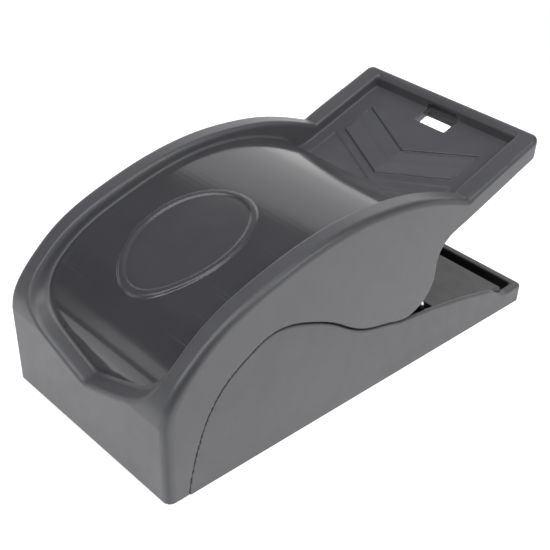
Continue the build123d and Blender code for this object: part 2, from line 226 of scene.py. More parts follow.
def sampled(field, xs, fs, zs, k=5):
    """The field on the grid, worked out only in the blocks that the surface can pass through."""
    g = (xs, fs, zs)
    at = [np.unique(np.r_[np.arange(0, len(q), k), len(q) - 1]) for q in g]
    c = np.broadcast_to(field(xs[at[0]][:, None, None], fs[at[1]][None, :, None], zs[at[2]][None, None, :]),
                        [len(q) for q in at])
    near = np.full([len(q) - 1 for q in at], 1e9)
    for i in (0, 1):
        for j in (0, 1):
            for m in (0, 1):
                near = np.minimum(near, np.abs(c[i:c.shape[0] - 1 + i, j:c.shape[1] - 1 + j, m:c.shape[2] - 1 + m]))
    d = [np.diff(q[w]) for q, w in zip(g, at)]
    diag = np.sqrt(d[0][:, None, None] ** 2 + d[1][None, :, None] ** 2 + d[2][None, None, :] ** 2)
    near = near < 0.65 * diag + 0.35
    one, two = [], []
    for q, w in zip(g, at):
        i = np.arange(len(q))
        b = np.clip(np.searchsorted(w, i, side="right") - 1, 0, len(w) - 2)
        one.append(b)
        two.append(np.where(np.isin(i, w), np.maximum(b - 1, 0), b))
    mask = np.zeros([len(q) for q in g], bool)
    for a in (one[0], two[0]):
        for b in (one[1], two[1]):
            for e in (one[2], two[2]):
                mask |= near[np.ix_(a, b, e)]
    v = c[np.ix_(*one)].astype(np.float32)
    i, j, m = np.nonzero(mask)
    for n in range(0, len(i), 1500000):
        w = slice(n, n + 1500000)
        v[i[w], j[w], m[w]] = field(xs[i[w]], fs[j[w]], zs[m[w]])
    return v


def surface(name, field, xs, fs, zs, passes=3, limit=96000):
    """Closed mesh of field = 0, its points set exactly on the surface, with the field's own normals."""
    v = sampled(field, xs, fs, zs)
    neg = v < 0
    c = [neg[i:neg.shape[0] - 1 + i, j:neg.shape[1] - 1 + j, k:neg.shape[2] - 1 + k]
         for i in (0, 1) for j in (0, 1) for k in (0, 1)]
    count = sum(q.astype(np.int8) for q in c)
    active = (count > 0) & (count < 8)
    index = np.full(active.shape, -1, np.int64)
    cells = np.argwhere(active)
    index[active] = np.arange(len(cells))
    pos = np.zeros((len(cells), 3))
    num = np.zeros(len(cells))
    grids = (xs, fs, zs)
    for axis in range(3):
        for o1 in (0, 1):
            for o2 in (0, 1):
                off = [0, 0, 0]
                others = [q for q in range(3) if q != axis]
                off[others[0]], off[others[1]] = o1, o2
                i0 = cells + off
                i1 = i0.copy()
                i1[:, axis] += 1
                a = v[i0[:, 0], i0[:, 1], i0[:, 2]].astype(float)
                b = v[i1[:, 0], i1[:, 1], i1[:, 2]].astype(float)
                hit = (a < 0) != (b < 0)
                t = np.where(hit, a / np.where(hit, a - b, 1), 0)
                p = np.stack([grids[q][i0[:, q]] for q in range(3)], 1)
                p[:, axis] += t * (grids[axis][i1[:, axis]] - grids[axis][i0[:, axis]])
                pos += p * hit[:, None]
                num += hit
    pos /= num[:, None]
    lo = np.stack([grids[q][cells[:, q]] for q in range(3)], 1)
    hi = np.stack([grids[q][cells[:, q] + 1] for q in range(3)], 1)
    span = hi - lo

    def grad(p, h=0.04):
        g = np.zeros_like(p)
        for q in range(3):
            d = np.zeros(3)
            d[q] = h
            a, b = p + d, p - d
            g[:, q] = (field(a[:, 0], a[:, 1], a[:, 2]) - field(b[:, 0], b[:, 1], b[:, 2])) / (2 * h)
        return g

    for _ in range(passes):
        g = grad(pos)
        d = field(pos[:, 0], pos[:, 1], pos[:, 2])
        s = d / np.maximum((g ** 2).sum(1), 0.2)
        pos = np.clip(pos - g * s[:, None], lo - 0.25 * span, hi + 0.25 * span)
    quads = []
    for axis in range(3):
        others = [q for q in range(3) if q != axis]
        sl0 = [slice(None)] * 3
        sl1 = [slice(None)] * 3
        sl0[axis], sl1[axis] = slice(0, -1), slice(1, None)
        for q in others:
            sl0[q] = sl1[q] = slice(1, -1)
        a, b = neg[tuple(sl0)], neg[tuple(sl1)]
        e = np.argwhere(a != b)
        up = a[a != b]
        base = e.copy()
        for q in others:
            base[:, q] += 1
        ring = []
        for o1, o2 in ((1, 1), (0, 1), (0, 0), (1, 0)):
            ix = base.copy()
            ix[:, others[0]] -= o1
            ix[:, others[1]] -= o2
            ring.append(index[ix[:, 0], ix[:, 1], ix[:, 2]])
        q = np.stack(ring, 1)
        flip = up if axis != 1 else ~up
        q[~flip] = q[~flip][:, ::-1]
        quads.append(q)
    quads = np.concatenate(quads)
    quads = quads[(quads >= 0).all(1)]
    co = np.stack([pos[:, 0], pos[:, 1] - LENGTH / 2, pos[:, 2]], 1)
    mesh = bpy.data.meshes.new(name)
    mesh.vertices.add(len(co))
    mesh.vertices.foreach_set("co", co.astype(np.float32).ravel())
    mesh.loops.add(len(quads) * 4)
    mesh.loops.foreach_set("vertex_index", quads.astype(np.int32).ravel())
    mesh.polygons.add(len(quads))
    mesh.polygons.foreach_set("loop_start", np.arange(0, len(quads) * 4, 4, dtype=np.int32))
    mesh.update(calc_edges=True)
    mesh.validate()
    o = bpy.data.objects.new(name, mesh)
    bpy.context.scene.collection.objects.link(o)
    made = len(quads)
    if made > limit:
        # fewer, larger faces where the surface is flat
        m = o.modifiers.new("thin", "DECIMATE")
        m.ratio = limit / made
        deps = bpy.context.evaluated_depsgraph_get()
        thin = bpy.data.meshes.new_from_object(o.evaluated_get(deps))
        o.modifiers.clear()
        o.data = thin
        bpy.data.meshes.remove(mesh)
        mesh = thin
        mesh.name = name
    n = len(mesh.vertices)
    co = np.empty(n * 3, np.float32)
    mesh.vertices.foreach_get("co", co)
    pos = co.reshape(-1, 3).astype(float)
    pos[:, 1] += LENGTH / 2
    for _ in range(2):
        g = grad(pos)
        move = g * (field(pos[:, 0], pos[:, 1], pos[:, 2]) / np.maximum((g ** 2).sum(1), 0.25))[:, None]
        size = np.linalg.norm(move, axis=1)
        pos = pos - move * np.minimum(1, 0.06 / np.maximum(size, 1e-9))[:, None]
    nor = grad(pos, 0.06)
    nor /= np.maximum(np.linalg.norm(nor, axis=1), 1e-9)[:, None]
    co = pos * 0.001
    co[:, 1] -= LENGTH / 2 * 0.001
    mesh.vertices.foreach_set("co", co.astype(np.float32).ravel())
    mesh.update()
    mesh.shade_smooth()
    mesh.normals_split_custom_set_from_vertices(nor.astype(np.float32).tolist())
    print("surface", name, made, "quads made,", n, "points,", len(mesh.polygons), "faces kept")
    return o, pos


# ------------------------------------------------------------------ shared profile
CREST = [(-0.9, 18.6), (-0.3, 21.9), (1.1, 24.7), (3.0, 27.2), (5.4, 29.7), (8.6, 32.6), (12.6, 35.35),
         (17.4, 37.65), (24.0, 40.0), (32.6, 42.4), (40.9, 43.85), (48.8, 44.35),
         (56.4, 44.0), (64.6, 42.9), (73.2, 40.6), (81.2, 37.7)]
PADDLE_TOP = [(81.2, 37.7), (104.4, 46.1)]
PADDLE_UNDER = [(104.2, 41.0), (85.4, 33.9), (78.6, 31.5)]
THROAT = [(78.6, 31.5), (76.2, 30.5), (74.4, 29.0), (73.2, 26.9), (72.75, 24.4)]
SEAM = [(58.6, 15.5), (52.6, 17.0), (48.8, 18.6), (45.4, 20.7), (41.7, 23.2), (36.6, 25.8),
        (32.7, 27.4), (28.9, 28.5), (25.8, 28.8), (22.8, 28.3), (20.0, 27.0), (16.4, 24.9),
        (13.6, 22.9), (11.3, 20.3), (9.4, 17.2), (7.7, 13.0), (6.3, 8.0), (5.4, 3.5), (5.0, 0.0)]
PANEL = [(3.1, 20.2), (4.7, 24.3), (6.9, 27.4), (9.8, 30.2), (13.4, 32.8), (18.0, 35.1),
         (24.5, 37.4), (33.0, 39.9), (41.2, 41.4), (48.8, 41.8), (56.3, 41.2), (63.6, 39.6),
         (70.0, 37.3)]
SLOPE = (PADDLE_TOP[1][1] - PADDLE_TOP[0][1]) / (PADDLE_TOP[1][0] - PADDLE_TOP[0][0])


def floor_z(f):
    return PADDLE_TOP[0][1] - 2.9 + (f - PADDLE_TOP[0][0]) * SLOPE


VALLEY = [(70.0, 37.3), (71.6, 36.1), (73.0, 34.6), (75.0, 33.55), (77.2, 33.5), (79.6, floor_z(79.6))]


def build_jaw():
    top = Outline([(0, 0), (0.05, -8)][::-1] + curve(CREST) + [PADDLE_TOP[1], (104.2, 41.0), (104.2, -8)])
    lobe0 = around(PF, PZ, LOBE_R, 11.0, -104.0, 40)
    seam = [lobe0[-1]] + [p for p in along_seam(-1) if p[0] < lobe0[-1][0] - 1.5 and p[1] > JAW_FOOT + 0.4]
    under = Outline([(112, 60), (112, 43.9), (104.2, 41.0), (85.4, 33.9)] + curve(THROAT[:-1] + [lobe0[0]])
                    + lobe0[1:-1] + curve(seam) + [(along_seam(-1)[-1][0], JAW_FOOT), (-8, JAW_FOOT), (-8, 60)])
    recess = Outline([(-10, 6), (2.75, 6), (2.95, 19.2)] + curve([(3.02, 20.0), (3.3, 21.1)] + PANEL[1:])[0:]
                     + curve(VALLEY)[1:] + [(101.8, floor_z(101.8)), (101.5, 70), (-10, 70)])
    arm = [(1.3, 14.75), (5.0, 15.95), (10.0, 17.75), (14.4, 19.6), (17.4, 21.5), (19.5, 24.1), (20.6, 27.4), (RIM_IN, 31.0)]
    vee = curve([(-a, b) for a, b in arm[::-1]] + [(0, 14.5)] + arm, 8)
    lip = Outline(vee + [(RIM_IN, 70), (-RIM_IN, 70)], step=0.12, box=((-30, 0), (30, 60)))
    inner = shifted(PANEL, -2.0)
    hollow = Outline([(2.2, -6), (2.2, 9.5), (5.0, 13.0), (5.3, 19.4)] + curve([(5.3, 19.4)] + inner[1:-1])[1:]
                     + [(69.0, 35.0), (72.2, 31.7), (78.6, 31.5), (90, 31.5), (90, -6)])
    panel_line = Outline([(-10, 6), (2.75, 6), (2.95, 19.2)] + curve([(3.02, 20.0), (3.3, 21.1)] + PANEL[1:])
                         + [(90, 30), (90, 70), (-10, 70)])
    rib = Outline([(1.5, 5.2), (8.4, 5.2), (9.6, 6.4), (9.6, 8.8), (8.4, 10.0), (6.6, 11.6), (5.4, 15.5), (1.5, 11.0)], step=0.1, pad=2)
    block = Outline([(77.0, 33.0), (77.0, 30.2), (82.6, 30.2), (84.6, 33.4), (84.6, 35.0)], step=0.1, pad=2)
    chev = Outline([(0, 79.4), (16.2, 86.4), (16.3, 95.5), (0, 88.2), (-16.3, 95.5), (-16.2, 86.4)], step=0.2, box=((-26, 66), (26, 104)))
    chev2 = Outline([(0, 68.0), (17.6, 75.6), (17.6, 84.7), (0, 77.2), (-17.6, 84.7), (-17.6, 75.6)], step=0.2, box=((-26, 60), (26, 104)))
    nrm = math.hypot(1, SLOPE)

    def recess_field(x, f, z):
        d = both(recess(f, z), np.abs(x) - RIM_IN, 0.55)
        return both(d, lip(x, z - 0.16 * np.clip(f, 0, 4)), 0.6)

    def field(x, f, z):
        ax = np.abs(x)
        r = 1.55 + 0.45 * step01(-f, -8.0, -1.0) * step01(x, -5.0, 5.0) - 0.3 * step01(f, 80.0, 86.0)
        d = both(top(f, z), ax - HALF, r)
        # rear corners of the paddle are rounder seen from above
        px, pf = np.maximum(ax - (HALF - 1.9), 0), np.maximum(f - (104.5 - 1.9), 0)
        plan = np.hypot(px, pf) - 1.9 + np.minimum(np.maximum(ax - (HALF - 1.9), f - (104.5 - 1.9)), 0)
        d = np.where(f > 94, both((z - PADDLE_TOP[1][1] - (f - PADDLE_TOP[1][0]) * SLOPE) / nrm, plan, 1.35), d)
        d = both(d, under(f, z), 0.03 + 0.03 * step01(f, 9.0, 13.0) + 0.22 * step01(f, 16.0, 30.0))
        d = cut(d, recess_field(x, f, z), 1.15 - 0.25 * step01(f, 80.0, 86.0))
        hol = both(hollow(f, z), ax - (HALF - WALL), 0.5)
        d = cut(d, hol, 0.2)
        # window and its pocket in the rear rim
        above = (z - floor_z(f)) / nrm
        d = cut(d, brick(x, f, above, -4.45, 4.45, 97.4, 101.95, -8, 1.2, 0.3), 0.15)
        d = cut(d, brick(x, f, above, -4.45, 4.45, 100.6, 102.7, -0.6, 1.15, 0.3), 0.12)
        # raised chevrons on the paddle floor
        # two saw-tooth chevrons: each sinks at its rear edge and stands up at its front edge
        u = (f - (79.4 + 0.432 * ax)) / (8.8 + 0.02 * ax)
        hgt = 0.42 - 0.85 * np.clip(u, -0.3, 1.3)
        d = cut(d, both(chev(x, f), hgt - above, 0.05), 0.12)
        d = join(d, both(chev(x, f), both(above - hgt, -0.9 - above, 0.02), 0.2), 0.1)
        u = (f - (68.0 + 0.432 * ax)) / 9.2
        hgt = 0.10 - 0.22 * np.clip(u, -0.3, 1.3)
        d = cut(d, both(both(chev2(x, f), 74.6 - f, 0.3), hgt - above, 0.2), 0.4)
        # bosses for the pivot pin, ribs behind the front wall, block for the latch loop
        boss = cyl_x(ax, f, z, PF, PZ, 5.4, 21.6, HALF - 1.0, 0.3)
        d = join(d, boss, 0.4)
        d = cut(d, cyl_x(ax, f, z, PF, PZ, 2.05, 20.0, 24.4, 0.1), 0.15)
        ribs = both(rib(f, z), np.minimum(np.abs(ax - 19.0), ax) - 1.1, 0.2)
        d = join(d, ribs, 0.3)
        d = cut(d, cyl_x(x, f, z, 7.6, 7.6, 1.25, -21.6, 21.6, 0.05), 0.1)
        d = join(d, both(block(f, z), ax - 6.6, 0.3), 0.3)
        return d

    def ringed(x, f, z):
        """The panel's raised oval plaque, a soft band."""
        e = np.hypot(x / 10.7, (f - 25.0) / 14.2)
        g = np.maximum(np.hypot(x / 10.7 ** 2, (f - 25.0) / 14.2 ** 2), 1e-3)
        off = np.abs((e * (e - 1)) / g) - 0.55
        return off

    def full(x, f, z):
        d = field(x, f, z)
        hgt = 0.36 * (1 - step01(ringed(x, f, z), -0.2, 0.42))
        near = step01(-np.abs(panel_line(f, z)), -1.6, -0.9)
        d = d - hgt * near
        # fine tool lines across the valley, parallel to the chevron's arms
        u = f - 0.42 * np.abs(x)
        lines_on = step01(u, 68.5, 70.5) * step01(-u, -76.6, -75.8) * step01(x, 0.0, 3.0) * step01(-x, -20.4, -19.4) * step01(z, 32.2, 32.8)
        return d + 0.05 * lines_on * (0.5 + 0.5 * np.cos(2 * math.pi * u / 1.3))

    xs = lines((-25.9, -12.4, 0.36), (-12.4, 12.4, 0.3), (12.4, 25.9, 0.36))
    fs = lines((-1.5, 9.0, 0.34), (9.0, 41.0, 0.3), (41.0, 68.0, 0.45), (68.0, 105.0, 0.34))
    zs = lines((-0.3, 13.0, 0.45), (13.0, 47.0, 0.34))
    o, pos = surface("jaw_cover", full, xs, fs, zs)
    x, f, z = pos.T
    gloss = step01(-np.abs(x), -20.75, -20.45) * step01(-f, -70.6, -70.0) * step01(f, 2.0, 2.4) * step01(-lip(x, z - 0.16 * np.clip(f, 0, 4)), 0.5, 0.9) * step01(-np.abs(panel_line(f, z)), -0.75, -0.5)
    disc = step01(-ringed(x, f, z), -0.3, 0.0)
    disc = np.maximum(disc, step01(-np.hypot(x / 10.7, (f - 25.0) / 14.2), -1.0, -0.98))
    gloss = gloss * (1 - 0.35 * disc)
    a = o.data.attributes.new("gloss", "FLOAT", "POINT")
    a.data.foreach_set("value", gloss.astype(np.float32))
    # painted shade: the rounded outer top edge on the near side only (x > 0) gets a darker colour, standing in for its
    # dark reflection
    t, sx = top(f, z), np.abs(x) - HALF
    painted_edge_shade = step01(t, -1.3, -0.5) * step01(sx, -1.3, -0.5) * (x > 0)
    a = o.data.attributes.new("painted_edge_shade", "FLOAT", "POINT")
    a.data.foreach_set("value", painted_edge_shade.astype(np.float32))
    return o


def cover_z(f):
    return 11.8 - (f - 74.5) * 0.208


def build_base():
    rec = LOBE_R + GAP + 0.1
    arc = around(PF, PZ, rec, -97.0, -104.0, 8)
    seam = [arc[-1]] + [p for p in along_seam(1) if p[0] < arc[-1][0] - 1.5]
    seam[-1] = (seam[-1][0], -4.0)
    scoop = curve([(103.6, 4.4), (101.2, 5.1), (98.8, 6.4), (97.0, 7.65), (95.7, 8.15)])
    side = Outline(curve(seam) + [(120, -4), (120, 4.95), (REAR, 4.6)] + scoop + [(85.8, 10.55), (73.1, 12.9)] + arc)
    plan = Outline([(-HALF, -20), (-HALF, LENGTH), (HALF, LENGTH), (HALF, -20)], step=0.2, box=((-32, -8), (32, 116)))
    ridge = Outline([(6.2, 1.0), (6.2, 3.2), (6.8, 3.8), (8.4, 3.8), (9.4, 1.0)], step=0.1, pad=2)
    post = Outline([(57.5, 1.0), (71.5, 1.0), (69.0, 22.8), (60.0, 22.8)], step=0.1, pad=2)
    rest = Outline([(70.6, 1.0), (75.6, 1.0), (75.6, 11.4), (74.4, 12.6), (74.2, 12.2), (74.02, 11.6), (73.6, 11.1), (70.6, 11.09)], step=0.1, pad=2)
    lug = Outline([(57.6, 1.0), (63.8, 1.0), (63.2, 4.6), (58.2, 4.6)], step=0.1, pad=2)
    ledge = Outline([(76.0, 1.0), (100.8, 1.0), (100.8, cover_z(100.8) - 1.6), (76.0, cover_z(76.0) - 1.6)], step=0.1, pad=2)

    step = Outline([(67.0, cover_z(67.0) - 1.6), (102.4, cover_z(102.4) - 1.6), (102.4, 20), (67.0, 20)], step=0.1, pad=2)

    def field(x, f, z):
        ax = np.abs(x)
        low = 0.03 + 0.03 * step01(f, 9.0, 13.0) + 0.24 * step01(f, 16.0, 30.0) + 0.4 * step01(f, 62.0, 86.0)
        d = both(side(f, z), both(ax - HALF, f - REAR, 1.3), low)
        d = both(d, -z, 0.12)
        tray = both(both(ax - (HALF - WALL), f - (REAR - 2.2), 0.8), FLOOR - z, 0.5)
        d = cut(d, tray, 0.3)
        d = cut(d, both(step(f, z), ax - 24.5, 0.3), 0.25)
        d = join(d, both(ridge(f, z), ax - 22.5, 0.2), 0.15)
        d = join(d, join(both(post(f, z), slab_x(ax, 8.8, 11.4), 0.2), cyl_x(ax, f, z, PF, PZ, 4.5, 8.8, 11.4), 0.1), 0.4)
        d = join(d, both(rest(f, z), slab_x(ax, 13.4, 15.0), 0.15), 0.3)
        d = join(d, join(both(lug(f, z), slab_x(ax, 5.0, 7.0), 0.2), cyl_x(ax, f, z, QF, QZ, 2.5, 5.0, 7.0), 0.1), 0.3)
        d = join(d, both(ledge(f, z), slab_x(ax, 21.0, 24.5), 0.2), 0.2)
        d = join(d, both(both(ledge(f, z), 98.6 - f, 0.1), ax - 22.0, 0.1), 0.1)
        d = cut(d, cyl_x(x, f, z, PF, PZ, 2.0, -12, 12, 0.05), 0.12)
        d = cut(d, cyl_x(x, f, z, QF, QZ, 1.0, -7.5, 7.5, 0.05), 0.12)
        d = cut(d, cyl_z(x, f, z, 0, BAIT_F, CUP_R + 0.1, -1, 3, 0.05), 0.12)
        return d

    xs = lines((-25.9, -20.6, 0.34), (-20.6, 20.6, 0.48), (20.6, 25.9, 0.34))
    fs = lines((4.4, 12.0, 0.4), (12.0, 72.0, 0.45), (72.0, 110.0, 0.36))
    zs = lines((-0.3, 5.6, 0.3), (5.6, 29.4, 0.4))
    o, pos = surface("base_tray", field, xs, fs, zs)
    x, f, z = pos.T
    # painted shade: the floor and inner walls of the tray, below the tail plate's level, are darkened in colour
    deep = step01(-np.abs(x), -24.0, -23.6) * step01(-f, -(REAR - 1.75), -(REAR - 2.1)) * step01(z, 1.0, 1.6)
    deep = deep * step01(cover_z(f) - z, -0.9, -0.5)
    a = o.data.attributes.new("inside", "FLOAT", "POINT")
    a.data.foreach_set("value", deep.astype(np.float32))
    return o


def build_tail_plate():
    sheet = Outline([(76.2, cover_z(76.2) - 1.6), (102.0, cover_z(102.0) - 1.6), (102.0, cover_z(102.0)), (76.2, cover_z(76.2))], step=0.1, pad=2)

    def field(x, f, z):
        return both(sheet(f, z), np.abs(x) - 24.3, 0.35)

    return surface("tail_plate", field, lines((-24.6, 24.6, 0.42)), lines((74.4, 102.5, 0.4)), lines((3.8, 12.6, 0.3)))[0]


def turned(pts, deg):
    c, s = math.cos(math.radians(deg)), math.sin(math.radians(deg))
    return [(QF + (a - QF) * c - (b - QZ) * s, QZ + (a - QF) * s + (b - QZ) * c) for a, b in pts]


def build_lever():
    sf, sz = PF + 14.0 * math.cos(math.radians(-60)), PZ + 14.0 * math.sin(math.radians(-60))
    ux, uz = sf - QF, sz - QZ
    d0 = math.hypot(ux, uz)
    ux, uz = ux / d0, uz / d0

    def at(u, n):
        return (QF + ux * u - uz * n, QZ + uz * u + ux * n)

    r = 0.9
    finger = Outline(turned([at(-1.5, r + 0.2), at(d0 + r + 0.15, r + 0.2), at(d0 + r + 0.15, -0.45), at(d0 + r + 0.75, -0.45),
                             at(d0 + r + 2.0, r + 0.6), at(d0 + r + 1.2, r + 2.2), at(3.0, r + 2.2), at(-1.0, r + 1.7)], 8.0), step=0.08, pad=2)
    arm = Outline([(61.5, 2.5), (48.0, 2.5), (48.0, 4.4), (58.6, 6.0), (60.7, 7.0)], step=0.08, pad=2)
    plate = Outline([(-4.6, 50.0), (-15.5, 46.0), (-17.0, 20.0), (-12.0, 13.4), (-6.0, 13.4), (0, 17.5),
                     (6.0, 13.4), (12.0, 13.4), (17.0, 20.0), (15.5, 46.0), (4.6, 50.0)], step=0.15, box=((-22, 9), (22, 54)))

    def field(x, f, z):
        ax = np.abs(x)
        d = both(plate(x, f), slab_x(z, 2.6, 4.2), 0.3)
        d = cut(d, np.hypot(x, f - BAIT_F) - 9.0, 0.3)
        for c in (20.5, 24.0):
            d = join(d, brick(ax, f, z, 5.0, 14.0, c, c + 1.0, 3.6, 4.8, 0.25), 0.15)
        d = join(d, brick(x, f, z, -3.3, 3.3, 46.5, 50.5, 2.6, 4.4, 0.25), 0.2)
        d = join(d, both(arm(f, z), ax - 3.3, 0.3), 0.3)
        d = join(d, cyl_x(x, f, z, QF, QZ, 2.5, -4.6, 4.6, 0.25), 0.3)
        d = join(d, both(finger(f, z), ax - 3.3, 0.25), 0.3)
        return cut(d, cyl_x(x, f, z, QF, QZ, 1.05, -6, 6, 0.05), 0.12)

    return surface("trigger_plate", field, lines((-17.4, 17.4, 0.42)), lines((12.8, 73.4, 0.42)), lines((1.7, 16.4, 0.34)))[0]


def build_cup():
    def field(x, f, z):
        q = np.hypot(x, f - BAIT_F)
        d = join(both(q - CUP_R, slab_x(z, 0.5, 6.8), 0.3), both(q - 7.4, slab_x(z, FLOOR, FLOOR + 0.8), 0.2), 0.3)
        return cut(d, both(q - (CUP_R - 1.0), 1.5 - z, 0.6), 0.25)

    return surface("bait_well", field, lines((-7.8, 7.8, 0.26)), lines((BAIT_F - 7.8, BAIT_F + 7.8, 0.26)), lines((0.1, 7.2, 0.26)))[0]


# ------------------------------------------------------------------ turned and bent metal
def mesh_object(name, verts, faces, flat=()):
    mesh = bpy.data.meshes.new(name)
    mesh.from_pydata([tuple(v) for v in verts], [], [tuple(f) for f in faces])
    mesh.validate()
    mesh.shade_smooth()
    o = bpy.data.objects.new(name, mesh)
    bpy.context.scene.collection.objects.link(o)
    return o


def tube(name, path, r, sides=20, square_ends=False):
    """Round wire along path points (mm, x f z), its ends broken to a small chamfer."""
    p = np.array([(a, b - LENGTH / 2, c) for a, b, c in path], float)
    tan = np.gradient(p, axis=0)
    tan /= np.linalg.norm(tan, axis=1)[:, None]
    ref = np.cross(tan[0], (0.3, 0.5, 0.81))
    ref /= np.linalg.norm(ref)
    rings = []
    # lead-in rings make the chamfer at both ends
    ch = 0.18 * r
    stations = [(p[0], tan[0], r - ch), (p[0] + tan[0] * ch, tan[0], r)]
    stations += [(p[i], tan[i], r) for i in range(1, len(p) - 1)]
    stations += [(p[-1] - tan[-1] * ch, tan[-1], r), (p[-1], tan[-1], r - ch)]
    ang = np.linspace(0, 2 * math.pi, sides, endpoint=False)
    for c, t, rad in stations:
        ref = ref - t * (ref @ t)
        ref /= np.linalg.norm(ref)
        side = np.cross(t, ref)
        rings.append(c + rad * (np.cos(ang)[:, None] * ref + np.sin(ang)[:, None] * side))
    verts = np.concatenate(rings + [[p[0]], [p[-1]]]) * 0.001
    n, faces = len(stations), []
    for i in range(n - 1):
        for j in range(sides):
            k = (j + 1) % sides
            faces.append((i * sides + j, i * sides + k, (i + 1) * sides + k, (i + 1) * sides + j))
    a, b = n * sides, n * sides + 1
    for j in range(sides):
        k = (j + 1) % sides
        faces.append((a, k, j))
        faces.append((b, (n - 1) * sides + j, (n - 1) * sides + k))
    return mesh_object(name, verts, faces)


def rounded_path(pts, r, n=8, step=0.8):
    """Straight runs joined by arcs of radius r, as sampled points."""
    pts = [np.array(p, float) for p in pts]
    out = [pts[0]]
    for i in range(1, len(pts) - 1):
        a, b, c = pts[i - 1], pts[i], pts[i + 1]
        u, v = (a - b) / np.linalg.norm(a - b), (c - b) / np.linalg.norm(c - b)
        turn = math.acos(max(-1, min(1, float(-(u @ v)))))
        cutoff = r * math.tan(turn / 2)
        p0, p1 = b + u * cutoff, b + v * cutoff
        mid = (u + v) / np.linalg.norm(u + v)
        centre = b + mid * r / math.cos(turn / 2)
        for t in np.linspace(0, 1, n + 1):
            w = (p0 - centre) * math.sin((1 - t) * turn) + (p1 - centre) * math.sin(t * turn)
            out.append(centre + w / math.sin(turn) if turn > 1e-3 else b)
    out.append(pts[-1])
    dense = [out[0]]
    for a, b in zip(out, out[1:]):
        k = max(1, int(np.linalg.norm(b - a) / step))
        for t in range(1, k + 1):
            dense.append(a + (b - a) * t / k)
    return dense


def bar(name, r, half, f, z, chamfer=0.35, x0=None):
    """A turned bar along X with chamfered ends."""
    prof = [(-half, 0.0), (-half, r - chamfer), (-half + chamfer, r)]
    prof += [(x, r) for x in np.linspace(-half + chamfer, half - chamfer, 40)[1:-1]]
    prof += [(half - chamfer, r), (half, r - chamfer), (half, 0.0)]
    sides = 32
    verts, faces = [], []
    for x, rad in prof[1:-1]:
        for k in range(sides):
            a = 2 * math.pi * k / sides
            verts.append((x * 0.001, (f - LENGTH / 2 + rad * math.cos(a)) * 0.001, (z + rad * math.sin(a)) * 0.001))
    m = len(prof) - 2
    for i in range(m - 1):
        for k in range(sides):
            j = (k + 1) % sides
            faces.append((i * sides + k, i * sides + j, (i + 1) * sides + j, (i + 1) * sides + k))
    faces.append(tuple(reversed(range(sides))))
    faces.append(tuple(range((m - 1) * sides, m * sides)))
    o = mesh_object(name, verts, faces)
    for p in o.data.polygons:
        if len(p.vertices) > 4:
            p.use_smooth = False
    return o


COIL_R, WIRE = 3.65, 0.8
X_OUT, X_IN, X_END = 19.6, 13.4, 23.4
BF, BZ = 73.2, 11.9          # bridge
EF, EZ = 83.0, 31.9          # end of the jaw leg


def spring_angles():
    d = math.hypot(BF - PF, BZ - PZ)
    tb = math.atan2(BZ - PZ, BF - PF) + math.acos(COIL_R / d)
    d = math.hypot(EF - PF, EZ - PZ)
    te = math.atan2(EZ - PZ, EF - PF) - math.acos(COIL_R / d)
    return tb, te


def build_spring():
    """Double torsion spring: a bridge and two legs on the base, and a coil with its jaw leg on each side."""
    tb, te = spring_angles()
    out = []
    tp = (PF + COIL_R * math.cos(tb), PZ + COIL_R * math.sin(tb))
    bridge = rounded_path([(X_OUT, tp[0], tp[1]), (X_END, BF, BZ), (9.8, BF, BZ), (7.0, 76.4, 12.35),
                           (-7.0, 76.4, 12.35), (-9.8, BF, BZ), (-X_END, BF, BZ), (-X_OUT, tp[0], tp[1])], 1.3)
    o = tube("spring_bridge", bridge, WIRE)
    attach(o, "base")
    out.append(o)
    sweep = te - tb
    while sweep < 2 * math.pi * 3.2:
        sweep += 2 * math.pi
    for s, name in ((1, "spring_coil_right"), (-1, "spring_coil_left")):
        pts = []
        n = 150
        for i in range(n + 1):
            t = i / n
            a = tb + sweep * t
            pts.append((s * (X_OUT + (X_IN - X_OUT) * t), PF + COIL_R * math.cos(a), PZ + COIL_R * math.sin(a)))
        e0 = np.array(pts[-1])
        e1 = np.array((s * X_IN, EF, EZ))
        pts += [tuple(e0 + (e1 - e0) * k / 14) for k in range(1, 15)]
        o = tube(name, pts, WIRE)
        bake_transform(o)
        out.append(o)
    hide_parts("torsion_spring")
    return out


# ------------------------------------------------------------------ materials
def nodes_of(name):
    m = bpy.data.materials.new(name)
    m.use_nodes = True
    t = m.node_tree
    t.nodes.clear()
    out = t.nodes.new("ShaderNodeOutputMaterial")
    b = t.nodes.new("ShaderNodeBsdfPrincipled")
    t.links.new(b.outputs[0], out.inputs[0])
    return m, t, b


def noise(t, scale, detail=3, rough=0.5, stretch=None):
    co = t.nodes.new("ShaderNodeTexCoord")
    n = t.nodes.new("ShaderNodeTexNoise")
    n.inputs["Scale"].default_value = scale
    n.inputs["Detail"].default_value = detail
    n.inputs["Roughness"].default_value = rough
    if stretch:
        m = t.nodes.new("ShaderNodeMapping")
        m.inputs["Scale"].default_value = stretch
        t.links.new(co.outputs["Object"], m.inputs[0])
        t.links.new(m.outputs[0], n.inputs["Vector"])
    else:
        t.links.new(co.outputs["Object"], n.inputs["Vector"])
    return n.outputs["Fac"]


def ranged(t, sock, a, b, lo, hi):
    m = t.nodes.new("ShaderNodeMapRange")
    m.inputs[1].default_value, m.inputs[2].default_value = a, b
    m.inputs[3].default_value, m.inputs[4].default_value = lo, hi
    t.links.new(sock, m.inputs[0])
    return m.outputs[0]


def maths(t, op, a, b):
    m = t.nodes.new("ShaderNodeMath")
    m.operation = op
    for i, v in enumerate((a, b)):
        if isinstance(v, (int, float)):
            m.inputs[i].default_value = v
        else:
            t.links.new(v, m.inputs[i])
    return m.outputs[0]


def mixed(t, fac, a, b):
    m = t.nodes.new("ShaderNodeMix")
    m.data_type = "RGBA"
    t.links.new(fac, m.inputs[0])
    m.inputs[6].default_value = (*a, 1)
    m.inputs[7].default_value = (*b, 1)
    return m.outputs[2]


